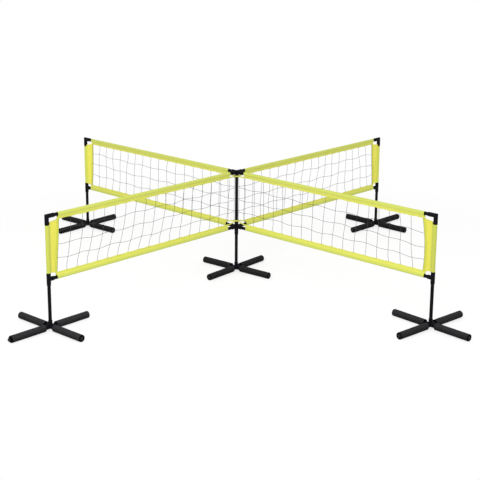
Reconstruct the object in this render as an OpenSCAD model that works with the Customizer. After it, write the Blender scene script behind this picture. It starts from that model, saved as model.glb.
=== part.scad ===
// Four-way ball net: four nets meet at a centre post, and each runs out to a post of its own.
// Each of the five posts stands in a cross base with foam-covered legs, and can be turned in it.
// Millimetres, +Z up. The origin is on the floor under the centre post; the nets run along X and Y.

/* [Layout] */
// Distance from the centre post to each outer post, axis to axis
arm_length = 1900; // [1500:10:2400]
// Height of the top rails' axes above the floor
top_rail_height = 828; // [780:2:2200]
// Distance between the axes of the top and bottom rails
rail_spacing = 454; // [420:2:580]

/* [Tubes] */
// Outer diameter of every pole, rail and leg tube
tube_d = 25; // [22:0.5:28]
// Wall of the tubes
tube_wall = 1.2; // [0.8:0.1:2]
// Length of the reduced end that joins the two halves of a rail
swage_length = 60; // [30:5:120]
// Length of the shoulder where that end widens to the full tube
swage_step = 4; // [2:1:10]

/* [Fittings] */
// Wall of the moulded sockets
socket_wall = 3; // [2.2:0.1:4]
// Radial clearance of a tube pushed into a socket
push_fit = 0.1; // [0.05:0.01:0.2]
// Radial clearance of a post in its base hub, which turns on it
swivel_fit = 0.05; // [0.02:0.01:0.1]
// Chamfer at a socket's mouth
mouth_chamfer = 1; // [0.5:0.1:1.5]
// Length of the cone at the lower end of a tee and of the bottom cross
collar_cone = 10; // [4:1:16]
// Thickness of the stop between two tubes on one line
stop_web = 4; // [2:0.5:8]
// Reach of both sockets of an elbow from its corner
elbow_reach = 62; // [50:1:74]
// Rounding of an elbow's outer corner
heel_round = 8; // [4:0.5:12]
// Reach of a tee's upper socket
tee_up = 43; // [30:1:60]
// Reach of a tee's lower socket
tee_down = 45; // [34:1:60]
// Reach of a tee's side socket
tee_side = 43; // [34:1:54]
// Reach of the side sockets of the top and bottom crosses
cross_side = 53; // [40:1:70]
// Reach of the top cross's socket for the centre post
top_cross_down = 45; // [44:1:60]
// Reach of the bottom cross's upper socket
bottom_cross_up = 45; // [30:1:46]
// Reach of the bottom cross's lower socket
bottom_cross_down = 65; // [40:1:80]
// How much wider than its sockets the round middle of a cross or a hub is
middle_extra = 3; // [1:0.5:6]

/* [Bases] */
// Reach of a hub's leg sockets from the post's axis
hub_side = 44; // [40:1:60]
// Reach of a hub's post socket above the legs' axes
hub_up = 45; // [30:1:70]
// Thickness of the hub's floor under the post
hub_floor = 3.5; // [2:0.5:6]
// End of the leg tubes, from the post's axis
leg_reach = 338; // [250:1:450]
// Outer diameter of the foam sleeves
foam_d = 52; // [44:1:64]
// Gap between a hub's leg socket and the foam, which runs on to the leg's end
foam_gap = 3; // [2:0.5:12]
// Bevel at a foam sleeve's inner end
foam_bevel_in = 4; // [2:0.5:9]
// Bevel at a foam sleeve's outer end
foam_bevel_out = 2; // [1:0.5:9]
// Depth of the flat that the foam presses into on the floor
foam_flat = 0.5; // [0.3:0.1:1]
// Thickness of a leg cap's flange
cap_flange = 2; // [1.5:0.1:4]
// Length of a leg cap's plug inside the tube
cap_plug = 12; // [6:1:25]
// Depth of the dish in a leg cap's face
cap_dish = 0.8; // [0.4:0.1:1.2]
// How far the loose leg of the west base stands out of its socket
loose_leg_out = 20; // [0:1:22]
// How far the foam of that leg stands out from its usual place
loose_foam_out = 3; // [0:1:10]

/* [Turn of each base on its post] */
// Centre base
centre_turn = 4; // [-45:1:45]
// East base
east_turn = -1; // [-45:1:45]
// North base
north_turn = 3; // [-45:1:45]
// West base
west_turn = 1; // [-45:1:45]
// South base
south_turn = -5; // [-45:1:45]

/* [Net sleeves] */
// Thickness of the sleeve fabric
fabric = 1; // [0.6:0.1:1.5]
// Clearance of a fabric sleeve round its tube
sleeve_slack = 0.4; // [0.2:0.1:1]
// Clearance between pieces that are sewn or tied together
seam = 0.2; // [0.1:0.1:0.4]
// Thickness of the flat hem below a sleeve
hem = 3; // [2:0.5:5]
// Depth of a top sleeve below its rail's axis
top_sleeve_depth = 37; // [34:1:46]
// Height of a bottom sleeve above its rail's axis
bottom_sleeve_height = 38; // [32:1:60]
// Start of a top sleeve, from the centre post
top_sleeve_start = 87; // [76:1:130]
// Start of a bottom sleeve, from the centre post
bottom_sleeve_start = 110; // [80:1:130]
// End of a top sleeve, from the outer post
top_sleeve_end = 92; // [82:1:102]
// End of a bottom sleeve, from the outer post
bottom_sleeve_end = 70; // [60:1:76]
// How far a top hem runs on past its sleeve at the outer end
top_corner_run = 8; // [2:1:30]
// How far a bottom hem runs on past its sleeve at the outer end
bottom_corner_run = 13; // [8:1:30]
// How far a hem runs on past its sleeve at the centre
centre_run = 10; // [2:1:16]
// Width of the side sleeve at its top, from the post's axis
side_top_width = 104; // [103:1:130]
// Width of the side sleeve at its bottom, from the post's axis
side_bottom_width = 79; // [77:1:100]
// Width of the doubled hem at the side sleeve's mesh edge
side_hem = 20; // [10:1:30]
// Gap between the side sleeve and the fittings beside, above and below it
side_gap = 2; // [1:0.5:6]
// How far the side sleeve's upper edge drops from the top hem to the elbow's lower socket
corner_drop = 11; // [0:1:14]

/* [Net mesh] */
// Distance between the cords of the mesh
mesh_pitch = 100; // [95:5:160]
// Thickness of the cords
cord = 2.4; // [1.5:0.1:3]
// How far a knot reaches along the cords
knot = 3; // [1:0.5:5]
// Distance of the mesh's edge cord from the centre post's axis
edge_cord = 25; // [22:1:50]
// Rise and fall of the level cords
cord_wave = 5; // [0:1:12]
// How far the east net's upright cords lean outward at the bottom
east_lean = 14; // [-30:1:60]
// The same for the north net
north_lean = 18; // [-30:1:60]
// The same for the west net
west_lean = 50; // [-30:1:60]
// The same for the south net
south_lean = -12; // [-30:1:60]

/* [Binding tapes] */
// Height of the tapes
tape_height = 10; // [6:1:14]
// Thickness of a tape
tape = 1.2; // [0.8:0.1:2]
// Height of the bottom tape's ring above the bottom cross's socket
tape_seat = 0.5; // [0.2:0.1:3]
// How far the bottom tapes drop on their way out to the sleeves
tape_drop = 23; // [10:1:26]

/* [Hidden] */

$fn = 64;
cut = 1; // how far a cutting solid runs past what it cuts
black = [0.11, 0.11, 0.12];
charcoal = [0.20, 0.20, 0.21];
lime = [0.91, 0.90, 0.38];
grey = [0.28, 0.28, 0.30];

// Posts, by number
centre = 0;
east = 1;
north = 2;
west = 3;
south = 4;
arm_angle = [0, 0, 90, 180, 270];
base_turn = [centre_turn, east_turn, north_turn, west_turn, south_turn];
net_lean = [0, east_lean, north_lean, west_lean, south_lean];
leg_angles = [0, 90, 180, 270];
loose_leg = 180;

// Radii
tube_r = tube_d / 2;
bore_r = tube_r - tube_wall;
socket_r = tube_r + push_fit + socket_wall;
middle_r = socket_r + middle_extra / 2;
foam_r = foam_d / 2;
sleeve_in_r = tube_r + sleeve_slack;
sleeve_r = sleeve_in_r + fabric;

// Heights
hub_z = foam_r - foam_flat;
top_z = top_rail_height;
bottom_z = top_rail_height - rail_spacing;
top_hem_z = top_z - top_sleeve_depth;
bottom_hem_z = bottom_z + bottom_sleeve_height;
pole_foot_z = hub_z - middle_r + hub_floor + seam;

// The top tape's ring goes round the top cross's socket, the bottom one round the post above a socket.
top_ring_z = top_hem_z + tape_height / 2;
top_ring_r = socket_r + seam;
bottom_ring_z = bottom_z + bottom_cross_up + tape_seat + tape_height / 2;
bottom_ring_r = tube_r + seam;

// Ends of the hems at the centre, from the centre post
top_hem_start = top_sleeve_start - centre_run;
bottom_hem_start = bottom_sleeve_start - centre_run;

// Height at x of the straight line from a to b.
function line_z(a, b, x) = a.y + (b.y - a.y) * (x - a.x) / (b.x - a.x);

function unit(v) = v / norm(v);

// ---- Placing ----

module on_arm(p) {
    rotate([0, 0, arm_angle[p]])
        children();
}

module at_post(p) {
    on_arm(p)
        translate([p == centre ? 0 : arm_length, 0, 0])
            children();
}

module in_base(p) {
    at_post(p)
        rotate([0, 0, base_turn[p] - arm_angle[p]])
            children();
}

// Turns a shape that stands on Z so that it lies along X.
module lay() {
    rotate([0, 90, 0])
        children();
}

// Stands a flat outline, drawn in X and Z, up in the plane of an arm.
module standing(thickness) {
    translate([0, thickness / 2, 0])
        rotate([90, 0, 0])
            linear_extrude(thickness)
                children();
}

// ---- Tubes ----

module tube(length) {
    difference() {
        cylinder(r = tube_r, h = length);
        translate([0, 0, -cut])
            cylinder(r = bore_r, h = length + 2 * cut);
    }
}

// A tube whose lower end is swaged down to slide into the tube before it.
module swaged_tube(length) {
    plug_r = bore_r - push_fit;
    rotate_extrude()
        polygon([
            [plug_r, -swage_length], [plug_r, 0], [tube_r, swage_step], [tube_r, length],
            [bore_r, length], [bore_r, swage_step], [plug_r - tube_wall, 0],
            [plug_r - tube_wall, -swage_length]
        ]);
}

// A rail: two half tubes from the cross at the centre to the fitting on the outer post.
module rail(p, height) {
    half = arm_length / 2 - socket_r;
    color(black)
        on_arm(p)
            translate([0, 0, height]) {
                translate([socket_r, 0, 0])
                    lay()
                        tube(half);
                translate([arm_length / 2, 0, 0])
                    lay()
                        swaged_tube(half);
            }
}

module lower_pole(p) {
    color(black)
        at_post(p)
            translate([0, 0, pole_foot_z])
                tube(bottom_z - stop_web / 2 - pole_foot_z);
}

module upper_pole(p) {
    foot = bottom_z + stop_web / 2;
    color(black)
        at_post(p)
            translate([0, 0, foot])
                tube(top_z - socket_r - foot);
}

// ---- Fittings ----

// A socket's outside, from the fitting's middle to its mouth; cone is the length of its tapered end.
module socket(reach, cone = mouth_chamfer) {
    rotate_extrude()
        polygon([
            [0, 0], [socket_r, 0], [socket_r, reach - cone],
            [socket_r - mouth_chamfer, reach], [0, reach]
        ]);
}

// A socket's bore, from its stop to its mouth.
module bore(stop, reach, fit = push_fit) {
    translate([0, 0, stop])
        cylinder(r = tube_r + fit, h = reach - stop + cut);
}

module downward() {
    mirror([0, 0, 1])
        children();
}

module hub(p) {
    color(black)
        in_base(p)
            translate([0, 0, hub_z])
                difference() {
                    union() {
                        sphere(r = middle_r);
                        socket(hub_up);
                        for (a = leg_angles)
                            rotate([0, 0, a])
                                lay()
                                    socket(hub_side);
                    }
                    bore(hub_floor - middle_r, hub_up, swivel_fit);
                    for (a = leg_angles)
                        rotate([0, 0, a])
                            lay()
                                bore(socket_r, hub_side);
                }
}

// Side sockets of a cross, one to each net.
module cross_sides() {
    sphere(r = middle_r);
    for (p = [east, north, west, south])
        on_arm(p)
            lay()
                socket(cross_side);
}

module cross_side_bores() {
    for (p = [east, north, west, south])
        on_arm(p)
            lay()
                bore(socket_r, cross_side);
}

module top_cross() {
    color(black)
        translate([0, 0, top_z])
            difference() {
                union() {
                    cross_sides();
                    downward()
                        socket(top_cross_down);
                }
                cross_side_bores();
                downward()
                    bore(socket_r, top_cross_down);
            }
}

module bottom_cross() {
    color(black)
        translate([0, 0, bottom_z])
            difference() {
                union() {
                    cross_sides();
                    socket(bottom_cross_up);
                    downward()
                        socket(bottom_cross_down, collar_cone);
                }
                cross_side_bores();
                bore(stop_web / 2, bottom_cross_up);
                downward()
                    bore(stop_web / 2, bottom_cross_down);
            }
}

// Outline of an elbow from the side, with its outer corner rounded; the sockets run to -X and -Z.
module elbow_outline() {
    corner = socket_r - heel_round;
    difference() {
        translate([-elbow_reach, -elbow_reach])
            square(elbow_reach + socket_r);
        difference() {
            translate([corner, corner])
                square(heel_round + cut);
            translate([corner, corner])
                circle(r = heel_round);
        }
    }
}

module elbow(p) {
    color(black)
        at_post(p)
            translate([0, 0, top_z])
                difference() {
                    intersection() {
                        union() {
                            downward()
                                socket(elbow_reach);
                            rotate([0, 0, 180])
                                lay()
                                    socket(elbow_reach);
                            intersection() {
                                cylinder(r = socket_r, h = 2 * socket_r, center = true);
                                lay()
                                    cylinder(r = socket_r, h = 2 * socket_r, center = true);
                            }
                        }
                        standing(2 * socket_r + 2 * cut)
                            elbow_outline();
                    }
                    downward()
                        bore(socket_r, elbow_reach);
                    rotate([0, 0, 180])
                        lay()
                            bore(socket_r, elbow_reach);
                }
}

module tee(p) {
    color(black)
        at_post(p)
            translate([0, 0, bottom_z])
                difference() {
                    union() {
                        socket(tee_up);
                        downward()
                            socket(tee_down, collar_cone);
                        rotate([0, 0, 180])
                            lay()
                                socket(tee_side);
                    }
                    bore(stop_web / 2, tee_up);
                    downward()
                        bore(stop_web / 2, tee_down);
                    rotate([0, 0, 180])
                        lay()
                            bore(socket_r, tee_side);
                }
}

// ---- Legs ----

// How far a leg stands out of its socket: only one leg of the west base does.
function is_loose(p, a) = p == west && a == loose_leg;

// Places a shape that stands on Z along each leg, moved out by `loose_out` on the loose one.
module on_legs(p, loose_out) {
    for (a = leg_angles)
        in_base(p)
            translate([0, 0, hub_z])
                rotate([0, 0, a])
                    translate([is_loose(p, a) ? loose_out : 0, 0, 0])
                        lay()
                            children();
}

module leg_tubes(p) {
    color(black)
        on_legs(p, loose_leg_out)
            translate([0, 0, socket_r])
                tube(leg_reach - socket_r);
}

module leg_caps(p) {
    plug_r = bore_r - push_fit;
    dish_r = plug_r - cap_flange;
    color(black)
        on_legs(p, loose_leg_out)
            translate([0, 0, leg_reach])
                rotate_extrude()
                    polygon([
                        [0, 0], [plug_r - cap_flange, 0], [plug_r - cap_flange, -cap_plug],
                        [plug_r, -cap_plug], [plug_r, 0], [tube_r, 0],
                        [tube_r, cap_flange - cap_dish], [tube_r - cap_dish, cap_flange],
                        [dish_r, cap_flange], [dish_r - cap_dish, cap_flange - cap_dish],
                        [0, cap_flange - cap_dish]
                    ]);
}

// One foam sleeve, standing on Z, from just outside the hub's socket to the face of the leg's cap.
module foam_sleeve() {
    inner_end = hub_side + foam_gap;
    outer_end = leg_reach + cap_flange;
    rotate_extrude()
        polygon([
            [tube_r + push_fit, inner_end], [foam_r - foam_bevel_in, inner_end],
            [foam_r, inner_end + foam_bevel_in], [foam_r, outer_end - foam_bevel_out],
            [foam_r - foam_bevel_out, outer_end], [tube_r + push_fit, outer_end]
        ]);
}

module foam_sleeves(p) {
    span = leg_reach + foam_d;
    color(charcoal)
        difference() {
            on_legs(p, loose_foam_out)
                foam_sleeve();
            in_base(p)
                translate([-span, -span, -foam_d])
                    cube([2 * span, 2 * span, foam_d]);
        }
}

// ---- Net sleeves ----

// A round loop of radius r that narrows to a strip of half width w, whose edge is `depth` below.
module drop_outline(r, w, narrow, depth) {
    far = norm([w, narrow]);
    touch = acos(r / far) - atan2(narrow, w);
    circle(r = r);
    polygon([[r * cos(touch), r * sin(touch)], [w, -narrow], [-w, -narrow], [-r * cos(touch), r * sin(touch)]]);
    translate([-w, -depth])
        square([2 * w, depth - narrow + fabric / 2]);
}

// Cross-section of a sleeve: fabric round a tube, both layers meeting in a flat hem below it.
module sleeve_outline(depth) {
    narrow = 2.2 * tube_r;
    difference() {
        drop_outline(sleeve_r, hem / 2, narrow, depth);
        circle(r = sleeve_in_r);
        drop_outline(sleeve_in_r, hem / 2 - fabric, narrow - 2 * fabric, narrow - fabric);
    }
}

// The sleeve on a rail, cut to its outline in the plane of the arm.
module rail_sleeve(depth, outline) {
    intersection() {
        rotate([90, 0, 90])
            linear_extrude(arm_length)
                sleeve_outline(depth);
        standing(4 * sleeve_r)
            polygon(outline);
    }
}

module top_sleeve() {
    end = arm_length - top_sleeve_end;
    translate([0, 0, top_z])
        rail_sleeve(top_sleeve_depth, [
            [top_sleeve_start, sleeve_r + cut], [top_sleeve_start, -tube_r],
            [top_hem_start, -top_sleeve_depth], [end + top_corner_run, -top_sleeve_depth],
            [end, -tube_r], [end, sleeve_r + cut]
        ]);
}

module bottom_sleeve() {
    end = arm_length - bottom_sleeve_end;
    translate([0, 0, bottom_z])
        mirror([0, 0, 1])
            rail_sleeve(bottom_sleeve_height, [
                [bottom_sleeve_start, sleeve_r + cut], [bottom_sleeve_start, -tube_r],
                [bottom_hem_start, -bottom_sleeve_height], [end + bottom_corner_run, -bottom_sleeve_height],
                [end, -tube_r], [end, sleeve_r + cut]
            ]);
}

// Where the side sleeve's mesh edge starts and ends, from the outer post
side_top = [-side_top_width, top_hem_z - seam];
side_bottom = [-side_bottom_width, bottom_hem_z + seam];

// Cross-section of the side sleeve in plan: a loop round the post and a flat web towards the mesh.
module side_outline() {
    rotate([0, 0, -90])
        sleeve_outline(side_top_width);
}

// The loop ends below the elbow, and the web's upper edge slants up beside its socket to the top hem.
module side_sleeve() {
    top_cut = top_z - elbow_reach - side_gap;
    bottom_cut = bottom_z + tee_up + side_gap;
    beside = -socket_r - side_gap;
    far_side = sleeve_r + cut;
    intersection() {
        linear_extrude(top_z)
            side_outline();
        standing(4 * sleeve_r)
            polygon([
                [far_side, bottom_cut], [far_side, top_cut], [beside, top_cut],
                [beside, side_top.y - corner_drop], [top_corner_run - top_sleeve_end, side_top.y],
                side_top, side_bottom,
                [bottom_corner_run - bottom_sleeve_end, side_bottom.y], [-sleeve_r, bottom_cut]
            ]);
    }
    // the mesh edge is folded over and sewn down
    standing(hem + 2 * fabric)
        polygon([
            side_top, side_bottom, side_bottom + [side_hem, 0], side_top + [side_hem, 0]
        ]);
}

module net_sleeves(p) {
    color(lime) {
        on_arm(p) {
            top_sleeve();
            bottom_sleeve();
        }
        at_post(p)
            side_sleeve();
    }
}

// ---- Binding tapes ----

// The bottom tape's upper edge runs down from its ring to the end of the bottom hem.
bottom_tape_in = [bottom_ring_r, bottom_ring_z + tape_height / 2];
bottom_tape_out = [bottom_hem_start, bottom_ring_z + tape_height / 2 - tape_drop];

// A ring round the centre post, and a tape from it to the net on each arm.
module tape_ring(r, z, drop, reach_low, reach_high) {
    color(lime) {
        translate([0, 0, z - tape_height / 2])
            difference() {
                cylinder(r = r + tape, h = tape_height);
                translate([0, 0, -cut])
                    cylinder(r = r, h = tape_height + 2 * cut);
            }
        for (p = [east, north, west, south])
            on_arm(p)
                standing(2 * tape)
                    polygon([
                        [r + tape / 2, z - tape_height / 2], [r + tape / 2, z + tape_height / 2],
                        [reach_high, z + tape_height / 2 - drop], [reach_low, z - tape_height / 2 - drop]
                    ]);
    }
}

// Distance from the centre post to a hem's slanted end at a height above or below its rail
function end_at(start, depth, h) = start - centre_run * (h - tube_r) / (depth - tube_r) - seam;

module top_tape_ring() {
    tape_ring(
        top_ring_r, top_ring_z, 0,
        end_at(top_sleeve_start, top_sleeve_depth, top_sleeve_depth),
        end_at(top_sleeve_start, top_sleeve_depth, top_sleeve_depth - tape_height)
    );
}

module bottom_tape_ring() {
    high = bottom_tape_out.y - bottom_z;
    tape_ring(
        bottom_ring_r, bottom_ring_z, tape_drop,
        end_at(bottom_sleeve_start, bottom_sleeve_height, high - tape_height),
        end_at(bottom_sleeve_start, bottom_sleeve_height, high)
    );
}

// ---- Net mesh ----

// Upright cords stand a pitch apart from the top sleeve's start, level ones are centred between the hems.
mesh_height = top_hem_z - bottom_hem_z;
level_cords = floor(mesh_height / mesh_pitch);
first_level = (mesh_height - (level_cords - 1) * mesh_pitch) / 2;
first_upright = top_sleeve_start + knot;
mesh_end = arm_length - side_top_width;
upright_cords = floor((mesh_end - first_upright - mesh_pitch / 2) / mesh_pitch) + 1;

// Upright i is at the edge cord for 0 and past the side sleeve's edge for the last
function upright_x(i) =
    i == 0 ? edge_cord
    : i > upright_cords ? arm_length - side_bottom_width + knot
    : first_upright + (i - 1) * mesh_pitch;

// Level j is past the top hem for 0 and past the bottom hem for the last
function level_z(j) =
    j == 0 ? top_hem_z + tape_height
    : j > level_cords ? bottom_hem_z - 3 * tape_height
    : top_hem_z - first_level - (j - 1) * mesh_pitch;

// A knot's place: the mesh hangs slack, so the uprights lean and the level cords rise and fall.
function knot_at(p, i, j) =
    let (
        x = upright_x(i),
        depth = (top_hem_z - level_z(j)) / mesh_height,
        slack = i == 0 || i > upright_cords ? 0 : 0.3 + 0.7 * sin(180 * x / arm_length),
        inside = i > 0 && i <= upright_cords && j > 0 && j <= level_cords ? 1 : 0
    )
    [x + net_lean[p] * depth * slack, level_z(j) + inside * cord_wave * sin(130 * i + 75 * j)];

// The two points of a gap beside the knot `at`; the cut between them is the knot's side.
function gap_corner(before, at, after) =
    let (back = unit(before - at), on = unit(after - at), half = cord / 2)
    [at + back * (half + knot) + on * half, at + on * (half + knot) + back * half];

function gap(p, i, j) =
    let (
        a = knot_at(p, i, j),
        b = knot_at(p, i + 1, j),
        c = knot_at(p, i + 1, j + 1),
        d = knot_at(p, i, j + 1)
    )
    concat(gap_corner(d, a, b), gap_corner(a, b, c), gap_corner(b, c, d), gap_corner(c, d, a));

// Outline of the mesh in the plane of its arm, inside the hems and above and below the tapes.
module mesh_outline() {
    start = edge_cord - cord / 2;
    high = top_hem_z - seam;
    low = bottom_hem_z + seam;
    tape_end = bottom_tape_out + [0, seam];
    polygon([
        [start, line_z(bottom_tape_in, bottom_tape_out, start) + seam], [start, high],
        [mesh_end - seam, high],
        [arm_length - side_bottom_width - seam, low],
        [bottom_hem_start - seam, low], [bottom_hem_start - seam, tape_end.y]
    ]);
}

module net(p) {
    color(grey)
        on_arm(p)
            standing(cord)
                difference() {
                    mesh_outline();
                    for (i = [0:upright_cords], j = [0:level_cords])
                        polygon(gap(p, i, j));
                }
}

// ---- Parts ----

hub(centre);  // centre_hub
leg_tubes(centre);  // centre_leg_tubes
foam_sleeves(centre);  // centre_foam_sleeves
leg_caps(centre);  // centre_leg_caps
hub(east);  // east_hub
leg_tubes(east);  // east_leg_tubes
foam_sleeves(east);  // east_foam_sleeves
leg_caps(east);  // east_leg_caps
hub(north);  // north_hub
leg_tubes(north);  // north_leg_tubes
foam_sleeves(north);  // north_foam_sleeves
leg_caps(north);  // north_leg_caps
hub(west);  // west_hub
leg_tubes(west);  // west_leg_tubes
foam_sleeves(west);  // west_foam_sleeves
leg_caps(west);  // west_leg_caps
hub(south);  // south_hub
leg_tubes(south);  // south_leg_tubes
foam_sleeves(south);  // south_foam_sleeves
leg_caps(south);  // south_leg_caps
lower_pole(centre);  // centre_lower_pole
lower_pole(east);  // east_lower_pole
lower_pole(north);  // north_lower_pole
lower_pole(west);  // west_lower_pole
lower_pole(south);  // south_lower_pole
upper_pole(centre);  // centre_upper_pole
upper_pole(east);  // east_upper_pole
upper_pole(north);  // north_upper_pole
upper_pole(west);  // west_upper_pole
upper_pole(south);  // south_upper_pole
top_cross();
bottom_cross();
elbow(east);  // east_elbow
elbow(north);  // north_elbow
elbow(west);  // west_elbow
elbow(south);  // south_elbow
tee(east);  // east_tee
tee(north);  // north_tee
tee(west);  // west_tee
tee(south);  // south_tee
rail(east, top_z);  // east_top_rail
rail(north, top_z);  // north_top_rail
rail(west, top_z);  // west_top_rail
rail(south, top_z);  // south_top_rail
rail(east, bottom_z);  // east_bottom_rail
rail(north, bottom_z);  // north_bottom_rail
rail(west, bottom_z);  // west_bottom_rail
rail(south, bottom_z);  // south_bottom_rail
net(east);  // east_net
net(north);  // north_net
net(west);  // west_net
net(south);  // south_net
net_sleeves(east);  // east_net_sleeves
net_sleeves(north);  // north_net_sleeves
net_sleeves(west);  // west_net_sleeves
net_sleeves(south);  // south_net_sleeves
top_tape_ring();
bottom_tape_ring();
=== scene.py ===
# %% [markdown]
# # A four-way ball net on five posts
# Four nets meet at a centre post, so four players or teams each have a court of their own.
# Posts, rails, sockets and caps are hard parts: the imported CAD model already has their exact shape,
# so they only get a finish here. Foam, cloth, tapes and cords are soft, and are modelled in this file.

# %% Load the CAD model
import math

import bmesh
import bpy
from mathutils import Matrix, Vector, noise


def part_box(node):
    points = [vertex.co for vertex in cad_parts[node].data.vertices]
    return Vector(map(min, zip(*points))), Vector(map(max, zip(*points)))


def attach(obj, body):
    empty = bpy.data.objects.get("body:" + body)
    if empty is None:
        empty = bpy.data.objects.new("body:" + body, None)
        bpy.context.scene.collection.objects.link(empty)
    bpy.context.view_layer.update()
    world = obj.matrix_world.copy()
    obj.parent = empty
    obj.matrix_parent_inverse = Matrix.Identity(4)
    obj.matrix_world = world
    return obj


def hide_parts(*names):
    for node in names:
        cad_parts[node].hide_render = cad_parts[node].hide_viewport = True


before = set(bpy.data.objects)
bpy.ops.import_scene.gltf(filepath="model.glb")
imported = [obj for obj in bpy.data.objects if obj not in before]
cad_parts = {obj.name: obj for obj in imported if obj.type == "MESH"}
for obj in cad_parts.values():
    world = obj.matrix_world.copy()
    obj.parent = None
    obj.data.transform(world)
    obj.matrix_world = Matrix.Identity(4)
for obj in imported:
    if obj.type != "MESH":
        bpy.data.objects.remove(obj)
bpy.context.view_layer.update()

# %% [markdown]
# ## Places and sizes
# Everything is in metres. Each net hangs in the upright plane of its arm, so it is easiest to model
# every arm as if it ran along +X, and to turn the finished mesh round the centre post.

# %% Places and sizes
POSTS = ("centre", "east", "north", "west", "south")
ARM_ANGLES = {"east": 0, "north": 90, "west": 180, "south": 270}
BASE_TURNS = {"centre": 4, "east": -1, "north": 3, "west": 1, "south": -5}


def middle(node):
    low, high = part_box(node)
    return (low + high) / 2


def smooth(low, high, value):
    """0 below low, 1 above high, and an even S between them."""
    t = min(max((value - low) / (high - low), 0), 1)
    return t * t * (3 - 2 * t)


def mix(a, b, t):
    return a + (b - a) * t


TOP_Z = middle("east_top_rail").z
BOTTOM_Z = middle("east_bottom_rail").z
ARM = middle("east_upper_pole").x
LEG_Z = middle("centre_leg_tubes").z
TUBE_R = (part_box("centre_upper_pole")[1].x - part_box("centre_upper_pole")[0].x) / 2
SOCKET_R = (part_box("east_elbow")[1].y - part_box("east_elbow")[0].y) / 2
print("rails at", round(TOP_Z, 3), round(BOTTOM_Z, 3))
print("arm", round(ARM, 3), "tube radius", round(TUBE_R, 4))

# %% [markdown]
# ## The camera
# The object is low and wide. A long lens from a little above head height shows all five posts and
# keeps them nearly upright, where a wide lens would splay them. A small downward shift frames the
# object instead of a steeper tilt, as a view camera would.

# %% Camera
CAMERA_PLACE = Vector((-6.526, -6.156, 2.903))
CAMERA_TURN = 46.71
CAMERA_TILT = 14.02
CAMERA_ROLL = 0.34
LENS_LENGTH = 85.95
LENS_SHIFT = (0.0055, -0.1)

lens = bpy.data.cameras.new("camera")
lens.sensor_width = 36
lens.lens = LENS_LENGTH
lens.shift_x, lens.shift_y = LENS_SHIFT
camera = bpy.data.objects.new("camera", lens)
bpy.context.scene.collection.objects.link(camera)
camera.matrix_world = (
    Matrix.Translation(CAMERA_PLACE)
    @ Matrix.Rotation(math.radians(-CAMERA_TURN), 4, "Z")
    @ Matrix.Rotation(math.radians(90 - CAMERA_TILT), 4, "X")
    @ Matrix.Rotation(math.radians(CAMERA_ROLL), 4, "Z")
)
bpy.context.scene.camera = camera
bpy.context.scene.view_settings.view_transform = "Standard"
print("camera", [round(value, 3) for value in camera.location])

# %% [markdown]
# ## A small language for materials
# A procedural material is a formula. Wiring it node by node hides the formula in some fifty links, so
# `Wire` wraps a socket here, and `0.7 + weave * 0.1` or `1 - mask` adds its Math nodes by itself.


# %% Shader maths
class Wire:
    """A socket's value, on which Python's operators add Math nodes."""

    def __init__(self, finish, socket):
        self.finish = finish
        self.socket = socket

    def maths(self, operation, *values):
        return self.finish.node("ShaderNodeMath", {"operation": operation}, dict(enumerate(values)))

    def __add__(self, other):
        return self.maths("ADD", self, other)

    def __sub__(self, other):
        return self.maths("SUBTRACT", self, other)

    def __rsub__(self, other):
        return self.maths("SUBTRACT", other, self)

    def __mul__(self, other):
        return self.maths("MULTIPLY", self, other)

    __radd__ = __add__
    __rmul__ = __mul__

    def __abs__(self):
        return self.maths("ABSOLUTE", self)

    def sine(self):
        return self.maths("SINE", self)

    def greater(self, other):
        return self.maths("MAXIMUM", self, other)

    def step(self, low, high):
        """0 at low and 1 at high, with an S between them; low may be the greater one."""
        return self.finish.node(
            "ShaderNodeMapRange",
            {"interpolation_type": "SMOOTHSTEP"},
            {"Value": self, "From Min": low, "From Max": high},
        )


print("wrapped operators: +, -, * and abs")

# %% [markdown]
# A finish is one material. `Finish.node` adds any node in one line and returns its output as a wire.
# What is the same all over a surface is set on the shader's own socket, and only what varies is wired.


# %% Finishes
class Finish:
    """One material: constants are set on its shader, and what varies is wired to it."""

    def __init__(self, name, **constants):
        self.material = bpy.data.materials.new(name)
        self.material.use_nodes = True
        self.tree = self.material.node_tree
        self.shader = self.tree.nodes["Principled BSDF"]
        for socket, value in constants.items():
            self.shader.inputs[socket.replace("_", " ")].default_value = value

    def node(self, kind, settings=None, sockets=None, out=0):
        """Adds a node: its settings are set first, then its sockets get their values or links."""
        node = self.tree.nodes.new(kind)
        for name, value in (settings or {}).items():
            setattr(node, name, value)
        for name, value in (sockets or {}).items():
            if isinstance(value, Wire):
                self.tree.links.new(value.socket, node.inputs[name])
            else:
                node.inputs[name].default_value = value
        return Wire(self, node.outputs[out])

    def place(self):
        """Object coordinates: metres from the floor under the centre post."""
        return self.node("ShaderNodeTexCoord", out="Object")

    def split(self, vector):
        """The three numbers of a vector."""
        node = self.tree.nodes.new("ShaderNodeSeparateXYZ")
        self.tree.links.new(vector.socket, node.inputs[0])
        return [Wire(self, output) for output in node.outputs]

    def noise(self, place, scale, detail=2.0, roughness=0.5):
        return self.node(
            "ShaderNodeTexNoise",
            sockets={"Vector": place, "Scale": scale, "Detail": detail, "Roughness": roughness},
        )

    def blend(self, amount, colour_a, colour_b):
        """colour_a where amount is 0, colour_b where it is 1."""
        return self.node(
            "ShaderNodeMix",
            {"data_type": "RGBA"},
            {"Factor": amount, 6: colour_a, 7: colour_b},
            out=2,
        )

    def bump(self, height, distance):
        """A surface raised by distance where height is 1."""
        sockets = {"Height": height, "Distance": distance, "Strength": 1.0}
        return self.node("ShaderNodeBump", sockets=sockets)

    def wire(self, **links):
        """Links wires to the shader's sockets: Base_Color, Roughness and Normal."""
        for name, value in links.items():
            self.tree.links.new(value.socket, self.shader.inputs[name.replace("_", " ")])


print("a finish adds nodes, splits vectors, blends colours and raises bumps")

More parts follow.
